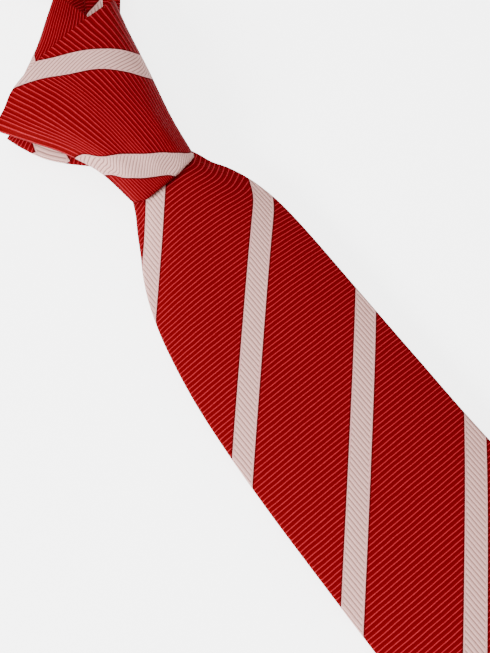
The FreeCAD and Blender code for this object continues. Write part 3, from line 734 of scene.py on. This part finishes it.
# ---- Tail ----
# The narrow end, folded the same way, lies on the table under the blade and slides
# through the keeper when the tie is drawn up.
TAIL_TIP = 330.0
TAIL_ROWS = (
    # from the mouth, left edge, right edge, crown height, edge height, underside
    (-3, -9.6, 9.4, 4.3, 3.4, 0.9),
    (-10, -10.6, 10, 4.4, 3.3, 0.8),
    (-40, -14.5, 9.5, 4.4, 3.2, 0.8),
    (-90, -21, 9, 4.4, 3.1, 0.8),
    (-160, -24.5, 12.5, 4.4, 3.1, 0.8),
    (-240, -27.2, 15.2, 4.4, 3.1, 0.8),
    (-307, -29, 17, 4.3, 3.1, 0.8),
)
tail_mesh = folded_shell("tail_silk", TAIL_ROWS, TAIL_TIP, 11.0, 284.0, 21.0, 0.0, (33, 11, 5))
tail_mesh.materials.append(silk)
tail = link("tail_silk", tail_mesh)
give_wall(tail, SILK_THICK / 1000)
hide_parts("tail_shell")
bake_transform(tail)

# ---- Neck loop ----
# The narrow middle of the tie goes round the collar: both legs leave the right side of
# the knot lying flat and turn up on edge, and the band stands upright at the back.
NECK_THICK = 3.4
NECK_LEFT = (
    # across, along, height of the middle, width, turn up from flat in degrees
    (5, 52, 6.2, 15, 0),
    (17, 62.5, 6.2, 14, 0),
    (22.5, 80, 6.4, 13, 4),
    (13.5, 102.5, 10.2, 20, 48),
    (-11, 122, 14.2, 27, 76),
    (-42, 139, 16.4, 31.5, 86),
    (-58, 157, 17, 33, 90),
)
NECK_RIGHT = (
    (12, 50, 10.2, 13.5, 0),
    (21.5, 62, 10.4, 12, 0),
    (33.5, 80, 10.6, 15.5, 2),
    (46, 100, 11, 23.5, 36),
    (53, 120, 14, 28, 64),
    (57.5, 140, 16.4, 32, 82),
    (58.6, 158, 17, 33, 90),
)
BAND_RADIUS = 58.8
BAND_CENTRE = 158.0
ROOT_END = 79.7
LEG_END = 158.0
NECK_CLOTH_START = 9.0


def band_points(steps=15):
    """Points of the back of the loop from its left end to its right one."""
    turn = np.linspace(math.pi, 0.0, steps)
    level = np.ones(steps)
    across = BAND_RADIUS * np.cos(turn)
    along = BAND_CENTRE + BAND_RADIUS * np.sin(turn)
    return np.stack([across, along, 17.0 * level, 33.0 * level, 90.0 * level], axis=1)


left_part = np.array(NECK_LEFT, float)
right_part = np.array(NECK_RIGHT, float)[::-1]
middle_part = band_points()
right_part[:, 4] = 180.0 - right_part[:, 4]
neck_line = np.concatenate([left_part[:-1], middle_part, right_part[1:]])
neck_line = smooth_line(neck_line, 12 * (len(neck_line) - 1) + 1)
neck_steps = np.linalg.norm(np.diff(neck_line[:, :3], axis=0), axis=1)
steps_along = np.concatenate([[0], np.cumsum(neck_steps)]) + NECK_CLOTH_START
top_row = int(np.argmax(neck_line[:, 1]))


def neck_run(name, first, last, shrink, thick, columns=26):
    """The run of the neck loop between two places on its line, its seam side inwards."""
    line = neck_line[first:last + 1]
    step = np.gradient(neck_line[:, :3], axis=0)[first:last + 1]
    flat_step = step * np.array([1, 1, 0])
    flat_step /= np.linalg.norm(flat_step, axis=1, keepdims=True)
    level = np.stack([flat_step[:, 1], -flat_step[:, 0], 0 * flat_step[:, 0]], axis=1)
    turn = np.radians(line[:, 4:5])
    wide = np.cos(turn) * level + np.sin(turn) * np.array([0, 0, 1.0])
    face = np.cross(wide, step)
    face /= np.linalg.norm(face, axis=1, keepdims=True)
    t = np.linspace(1, -1, columns)
    half_width = (line[:, 3:4] - thick) / 2 - shrink
    crown = 0.35 * (1 - t[None, :] ** 2) * (shrink == 0)
    front = line[:, None, :3] + wide[:, None, :] * (half_width * t[None, :])[:, :, None]
    front = front + face[:, None, :] * (thick / 2 + crown)[:, :, None]
    normal = np.repeat(face[:, None, :], columns, axis=1)
    widths = -half_width * t[None, :]
    return flat_tube(name, front, normal, thick, steps_along[first:last + 1], widths)


left_rows = [n for n in range(top_row) if neck_line[n, 1] <= ROOT_END]
right_rows = [n for n in range(top_row, len(neck_line)) if neck_line[n, 1] <= ROOT_END]
left_band = [n for n in range(top_row) if neck_line[n, 1] <= LEG_END]
right_band = [n for n in range(top_row, len(neck_line)) if neck_line[n, 1] <= LEG_END]
root_end, root_start = max(left_rows), min(right_rows)
band_first, band_last = max(left_band), min(right_band)
NECK_RUNS = (
    ("neck_left_root_silk", 0, root_end, "neck_left_root", (0.017, 0.036)),
    ("neck_left_leg_silk", root_end, band_first, "neck_left_leg", (0.025, 0.125)),
    ("neck_back_band_silk", band_first, band_last, "neck_back_band", (0.035, 0.188)),
    ("neck_right_leg_silk", band_last, root_start, "neck_right_leg", (0.027, 0.085)),
    ("neck_right_root_silk", root_start, len(neck_line) - 1, "neck_right_root", (0.018, 0.042)),
)


def place_neck(piece, kind):
    """The band goes with the back of the neck loop; a root or a leg stays fixed where it lies."""
    if kind == "band":
        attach(piece, "neck_arc")
    else:
        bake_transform(piece)


for run_name, first, last, node, cut in NECK_RUNS:
    run_mesh = neck_run(run_name, first, last, 0.0, NECK_THICK)
    run = make_piece(run_name, run_mesh, silk, node)
    place_neck(run, node.split("_")[-1])

# ---- Wool interlining ----
# Brushed wool cut a little smaller than the silk, inside the blade, the tail and the neck
# loop, with one layer in the knot. It keeps the folded silk full and free of creases.
WOOL = (0.56, 0.52, 0.44, 1.0)
WOOL_SHADE = (0.36, 0.33, 0.27, 1.0)
NECK_WOOL_INSET = 1.6
NECK_WOOL_THICK = 1.6

woven, given, woven_end = node_group("plain_weave", "ShaderNodeTree", (
    ("Vector", "Place", None),
    ("Float", "Threads", 1500.0),
    ("Float", "Fuzz", 0.5),
    ("Color", "Light", WOOL),
    ("Color", "Shade", WOOL_SHADE),
), (("Color", "Color"), ("Float", "Height")))
parts = add_node(woven, "ShaderNodeSeparateXYZ", {0: given["Place"]})


def weave_math(operation, *values, clamp=False):
    return math_node(woven, operation, *values, clamp=clamp)


warp = weave_math("SINE", weave_math("MULTIPLY", parts.outputs["X"], given["Threads"]))
weft = weave_math("SINE", weave_math("MULTIPLY", parts.outputs["Y"], given["Threads"]))
crossing = weave_math("MULTIPLY", weave_math("MULTIPLY", warp, weft), 0.5)
crossing = weave_math("MULTIPLY", weave_math("ADD", 0.5, crossing), 0.6)
fuzz = weave_math("MULTIPLY", noise_node(woven, given["Place"], 900.0, 4.0), given["Fuzz"])
weave_share = weave_math("ADD", crossing, fuzz, clamp=True)
weave_colour = mix_colour(woven, weave_share, given["Shade"], given["Light"])
feed(woven, woven_end, {"Color": weave_colour, "Height": weave_share})


def woven_material(name, light, shade, threads, fuzz, roughness, sheen):
    """Plain woven cloth or thread in those two colours, its weave laid out by place."""
    material, tree, shader = new_material(name)
    weave_inputs = {
        "Place": add_node(tree, "ShaderNodeTexCoord", {}).outputs["Object"],
        "Threads": threads,
        "Fuzz": fuzz,
        "Light": light,
        "Shade": shade,
    }
    weave = add_node(tree, "ShaderNodeGroup", weave_inputs, node_tree=woven)
    surface = {"Roughness": roughness, "Sheen Weight": sheen, "Specular IOR Level": 0.12}
    finish_cloth(tree, shader, weave, 0.6, 0.0002, surface)
    return material


wool = woven_material("brushed_wool", WOOL, WOOL_SHADE, 4200.0, 0.5, 0.95, 0.4)

for run_name, first, last, node, cut in (
    ("neck_left_wool", root_end + 1, band_first, "neck_left_interlining", (0.022, 0.122)),
    ("neck_back_wool", band_first, band_last, "neck_back_interlining", (0.029, 0.186)),
    ("neck_right_wool", band_last, root_start - 1, "neck_right_interlining", (0.024, 0.083)),
):
    run_mesh = neck_run(run_name, first, last, NECK_WOOL_INSET, NECK_WOOL_THICK, columns=14)
    run = make_piece(run_name, run_mesh, wool, node)
    place_neck(run, "band" if "back" in node else "leg")


def core_stations(rows_of_piece, tip, inset, gap):
    """Points of a core that fills a folded shell, from the mouth to its point."""
    stations = []
    for n, (along, left, right, crown, edge, under) in enumerate(rows_of_piece):
        last = n == len(rows_of_piece) - 1
        t = np.array([-1, -0.5, 0, 0.5, 1.0])
        middle = (left + right) / 2
        half_width = (right - left) / 2 - inset - 2.5 * last
        height = crown - gap - (crown - edge) * np.abs(t) ** CROWN_POWER
        start = along + 8.0 * last
        stations.append((0.0, *[(middle + half_width * a, start, h) for a, h in zip(t, height)]))
    shoulder = np.array(stations[-1][1:])
    for share, drop in ((0.58, 0.2), (0.95, 0.6)):
        row = shoulder.copy()
        centre = row[2, 0]
        row[:, 0] = centre + (row[:, 0] - centre) * (1 - share)
        row[:, 1] = start + share * (2 - tip - start)
        row[:, 2] -= drop
        stations.append((0.0, *[tuple(point) for point in row]))
    return stations


WOOL_INSET = 2.6
WOOL_GAP = 0.62
WOOL_CORES = (
    ("blade_wool", BLADE_ROWS, BLADE_TIP - 2.0, "blade_interlining",
     ("knot", "blade", 0.002, -0.025), (0.080, 0.458), 0.031, 0.8),
    ("tail_wool", TAIL_ROWS, TAIL_TIP - 2.0, "tail_interlining",
     ("blade", "tail", -0.008, -0.200), (0.042, 0.325), 0.0105, 0.7),
)
for core_name, rows_of_core, tip, node, body_pair, cut, area, thick in WOOL_CORES:
    core_points = core_stations(rows_of_core, tip, WOOL_INSET, WOOL_GAP)
    core_mesh = strip_mesh(core_name, core_points, thick, rows=120, columns=24)
    core = make_piece(core_name, core_mesh, wool, node)
    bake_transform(core)

KNOT_WOOL = (
    (0, (-6.5, 6, 14), (0, 6, 14.6), (6.5, 6, 14)),
    (20, (-10.5, 22, 15.2), (-1, 22, 15.8), (9, 22, 15.2)),
    (45, (-12, 44, 14.8), (-1, 44, 15), (10, 44, 14.8)),
)
knot_wool_mesh = strip_mesh("knot_wool", KNOT_WOOL, 1.0, 40, 20)
knot_wool = make_piece(
    "knot_wool", knot_wool_mesh, wool, "knot_interlining", "knot")

# ---- Tipping ----
# Smooth acetate that lines each pointed end. It shows in the open part of the back,
# above the hems.
TIPPING_RED = (0.085, 0.003, 0.005, 1.0)
TIPPING_SHADE = (0.050, 0.001, 0.002, 1.0)
acetate = woven_material("acetate_satin", TIPPING_RED, TIPPING_SHADE, 9000.0, 0.3, 0.42, 0.0)

LININGS = (
    ("blade_tipping_lining", BLADE_ROWS[-1], BLADE_TIP, 290.0, 6.05,
     "blade_tipping", "blade", (0.080, 0.162), 0.0085),
    ("tail_tipping_lining", TAIL_ROWS[-1], TAIL_TIP, 276.0, 1.62,
     "tail_tipping", "tail", (0.040, 0.052), 0.0014),
)
for lining_name, last_row, tip, apex, height, node, body, cut, area in LININGS:
    down, left, right = -last_row[0], last_row[1] + 3, last_row[2] - 3
    centre, half_width = (left + right) / 2, (right - left) / 2
    stations = []
    above = apex + 0.55 * (down - apex)
    half_down = (down + tip) / 2
    shape = ((apex, 0.10), (above, 0.60), (down - 2.0, 0.92), (half_down, 0.44), (tip - 6.0, 0.03))
    for place, share in shape:
        t = np.linspace(-1, 1, 4)
        stations.append((0.0, *[(centre + half_width * share * a, -place, height) for a in t]))
    lining_mesh = strip_mesh(lining_name, stations, 0.3, rows=60, columns=24)
    lining = make_piece(lining_name, lining_mesh, acetate, node, body)

# ---- Keeper loop ----
# A narrow folded band of the same silk across the back of the blade. Its ends are sewn
# down on both sides of the tail, which passes through it.
KEEPER_WIDTH = 13.0
keeper_low, keeper_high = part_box("keeper_loop")
KEEPER_THICK = 0.5
KEEPER_CLOTH_START = 30.0
KEEPER_LINE = (
    # across, height: down the left side of the tail, under it, and up the right side
    (-27, 5), (-30.6, 4.5), (-31.3, 2.6), (-29.6, 0.62), (-20, 0.42), (-6, 0.40),
    (8, 0.42), (17.6, 0.62), (19.3, 2.6), (18.6, 4.5), (15, 5),
)
keeper_middle = ((keeper_low.y + keeper_high.y) / 2 - MOUTH) * 1000
keeper_line = smooth_line(np.array(KEEPER_LINE), 90)
t = np.linspace(-1, 1, 16)
keeper_y = keeper_middle + t * KEEPER_WIDTH / 2
keeper_front = np.array([[(x, y, z) for y in keeper_y] for x, z in keeper_line])
keeper_normal = grid_normals(keeper_front)
if keeper_normal[45, 8, 2] > 0:
    keeper_normal = -keeper_normal
keeper_lengths = arc(keeper_front, 0)[:, 0] + KEEPER_CLOTH_START
keeper_mesh = flat_tube("keeper_silk", keeper_front, keeper_normal, KEEPER_THICK, keeper_lengths)
keeper = make_piece("keeper_silk", keeper_mesh, silk, "keeper_loop", "blade")

# ---- Label ----
# A small woven label with no lettering, sewn on the back of the blade above the keeper.
LABEL_WHITE = (0.62, 0.60, 0.56, 1.0)
LABEL_SHADE = (0.45, 0.43, 0.40, 1.0)
LABEL_HEIGHT = 4.92
LABEL_WAVE = 0.05
LABEL_THICK = 0.22
label_low, label_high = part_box("name_label")


def label_height(x, y):
    """The label lies on the silk with a slight wave in it."""
    return LABEL_HEIGHT + LABEL_WAVE * math.sin(x * 0.7) * math.cos(y * 0.6)


label_x = np.linspace(label_low.x * 1000, label_high.x * 1000, 30)
label_y = np.linspace(label_low.y - MOUTH, label_high.y - MOUTH, 20) * 1000
label_front = np.array([[(x, y, label_height(x, y)) for y in label_y] for x in label_x])
label_normal = np.zeros_like(label_front)
label_normal[:, :, 2] = -1.0
label_mesh = flat_tube("label_cloth", label_front, label_normal, LABEL_THICK, label_x)
label_weave = woven_material("label_weave", LABEL_WHITE, LABEL_SHADE, 7000.0, 0.25, 0.7, 0.1)
label = make_piece("label_cloth", label_mesh, label_weave, "name_label", "blade")

# ---- Stitching ----
# One long thread draws the back seams together in loose slip stitches, bar tacks lock
# both ends of the seam, and fine stitches hold the keeper, the label and the neck seams.
# All sizes are in mm, and every stitch is one short raised loop of thread.
THREAD_RED = (0.20, 0.004, 0.006, 1.0)
THREAD_SHADE = (0.09, 0.001, 0.002, 1.0)
SLIP_SPACING = 9.5
SEAM_MIDDLE = -6.0
BLADE_BACK = 5.2
TAIL_BACK = 0.82
LABEL_STITCH_HEIGHT = 4.68
KEEPER_STITCH_HEIGHT = 5.15
thread = woven_material("sewing_thread", THREAD_RED, THREAD_SHADE, 16000.0, 0.3, 0.55, 0.2)

stitching, given, stitching_end = node_group("stitch_row", "GeometryNodeTree", (
    ("Int", "Count", 10),
    ("Vector", "First", None),
    ("Vector", "Step", None),
    ("Vector", "Reach", None),
    ("Vector", "Rise", None),
    ("Float", "Thread", 0.0004),
    ("Material", "Material", None),
), (("Geometry", "Stitches"),))


def scaled(vector, factor):
    inputs = {0: vector, "Scale": factor}
    return add_node(stitching, "ShaderNodeVectorMath", inputs, operation="SCALE").outputs[0]


places = add_node(stitching, "GeometryNodeMeshLine", {
    "Count": given["Count"],
    "Start Location": given["First"],
    "Offset": given["Step"],
})
loop_line = add_node(stitching, "GeometryNodeCurveQuadraticBezier", {
    "Resolution": 8,
    "Start": scaled(given["Reach"], -0.5),
    "Middle": given["Rise"],
    "End": scaled(given["Reach"], 0.5),
})
ring = add_node(stitching, "GeometryNodeCurvePrimitiveCircle", {
    "Resolution": 8,
    "Radius": math_node(stitching, "MULTIPLY", given["Thread"], 0.5),
})
tube = add_node(stitching, "GeometryNodeCurveToMesh", {
    "Curve": loop_line.outputs["Curve"],
    "Profile Curve": ring.outputs["Curve"],
    "Fill Caps": True,
})
copies = add_node(stitching, "GeometryNodeInstanceOnPoints", {
    "Points": places.outputs["Mesh"],
    "Instance": tube.outputs["Mesh"],
}).outputs["Instances"]
real = add_node(stitching, "GeometryNodeRealizeInstances", {"Geometry": copies})
coloured = add_node(stitching, "GeometryNodeSetMaterial", {
    "Geometry": real.outputs["Geometry"],
    "Material": given["Material"],
})
feed(stitching, stitching_end, {"Stitches": coloured.outputs["Geometry"]})


def stitch_row(name, count, first, step, reach, rise, thick):
    """A row of stitches as one mesh, all sizes in mm from the mouth."""
    holder = link(name, bpy.data.meshes.new(name))
    sewing = holder.modifiers.new("sewing", "NODES")
    sewing.node_group = stitching
    place = [first[0] / 1000, first[1] / 1000 + MOUTH, first[2] / 1000]
    values = {
        "Count": count,
        "First": place,
        "Step": [a / 1000 for a in step],
        "Reach": [a / 1000 for a in reach],
        "Rise": [a / 1000 for a in rise],
        "Thread": thick / 1000,
        "Material": thread,
    }
    for item in stitching.interface.items_tree:
        if item.in_out == "INPUT":
            sewing[item.identifier] = values[item.name]
    graph = bpy.context.evaluated_depsgraph_get()
    made = bpy.data.meshes.new_from_object(holder.evaluated_get(graph))
    holder.modifiers.clear()
    holder.data = made
    return holder


def joined_rows(name, rows_of_stitches):
    """Several stitch rows as one mesh."""
    rows = [stitch_row(f"{name}_{n}", *row) for n, row in enumerate(rows_of_stitches)]
    place, faces = [], []
    for part in rows:
        faces.extend(tuple(v + len(place) for v in face.vertices) for face in part.data.polygons)
        place.extend(tuple(v.co) for v in part.data.vertices)
        bpy.data.objects.remove(part)
    mesh = bpy.data.meshes.new(name)
    mesh.from_pydata(place, [], faces)
    mesh.polygons.foreach_set("use_smooth", [True] * len(faces))
    return mesh


def mm(node):
    """A CAD node's box in mm from the mouth."""
    low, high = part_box(node)
    return [[c.x * 1000, (c.y - MOUTH) * 1000, c.z * 1000] for c in (low, high)]


def seam_rows(node, height, centre):
    """Slip stitches down the seam between the two ends of that CAD node."""
    low, high = mm(node)
    count = int((high[1] - low[1]) / SLIP_SPACING) + 1
    first = (centre, low[1], height)
    step = (0.0, SLIP_SPACING, 0.0)
    return [(count, first, step, (1.5, 4.6, 0.0), (0.0, 0.0, -0.25), 0.32)]


def tack_rows(node, height):
    """The close stitches of a bar tack, side by side."""
    low, high = mm(node)
    first = (low[0] + 0.25, (low[1] + high[1]) / 2, height)
    return [(12, first, (0.5, 0.0, 0.0), (0.18, 2.4, 0.0), (0.0, 0.0, -0.3), 0.34)]


def sew(name, rows_of_stitches, node, body=None):
    """Rows of stitches in place of that CAD node, going with the body if there is one."""
    return make_piece(name, joined_rows(name, rows_of_stitches), thread, node, body)


label_box = mm("name_label")
keeper_box = mm("keeper_loop")
label_edges = []
for x in (label_box[0][0] + 0.8, label_box[1][0] - 0.8):
    first = (x, label_box[0][1] + 1.8, LABEL_STITCH_HEIGHT)
    label_edges.append((16, first, (0, 2.0, 0), (0, 1.3, 0), (0, 0, -0.1), 0.22))
for y in (label_box[0][1] + 0.8, label_box[1][1] - 0.8):
    first = (label_box[0][0] + 2.0, y, LABEL_STITCH_HEIGHT)
    label_edges.append((27, first, (2.0, 0, 0), (1.3, 0, 0), (0, 0, -0.1), 0.22))
keeper_edges = []
for x in (-28.6, 16.6):
    first = (x, keeper_box[0][1] + 2.0, KEEPER_STITCH_HEIGHT)
    keeper_edges.append((6, first, (0, 2.0, 0), (0, 1.4, 0), (0, 0, 0.2), 0.26))
blade_seam = seam_rows("blade_slip_stitch", BLADE_BACK, SEAM_MIDDLE)
tail_seam = seam_rows("tail_slip_stitch", TAIL_BACK, SEAM_MIDDLE)
sew("blade_slip_stitches", blade_seam, "blade_slip_stitch", "blade")
tail_sewing = sew("tail_slip_stitches", tail_seam, "tail_slip_stitch")
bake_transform(tail_sewing)
sew("blade_tack", tack_rows("blade_bar_tack", BLADE_BACK - 0.05), "blade_bar_tack", "blade")
sew("tail_tack", tack_rows("tail_bar_tack", TAIL_BACK - 0.04), "tail_bar_tack", "tail")
sew("label_sewing", label_edges, "label_stitches", "blade")
sew("keeper_sewing", keeper_edges, "keeper_stitches", "blade")
for side, sign in (("left", -1), ("right", 1)):
    rise = (0.12 * sign, 0.0, 0.0)
    seam_first = (sign * (BAND_RADIUS + 1.75), 160.2, 4.5)
    seam_stitches = [(15, seam_first, (0, 0, 1.8), (0, 0, 1.1), rise, 0.24)]
    sew(f"neck_{side}_sewing", seam_stitches, f"neck_seam_{side}", "neck_arc")

size = {
    "cad": [list(cad_low), list(cad_high)],
    "visual": [list(corner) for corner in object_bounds()],
}
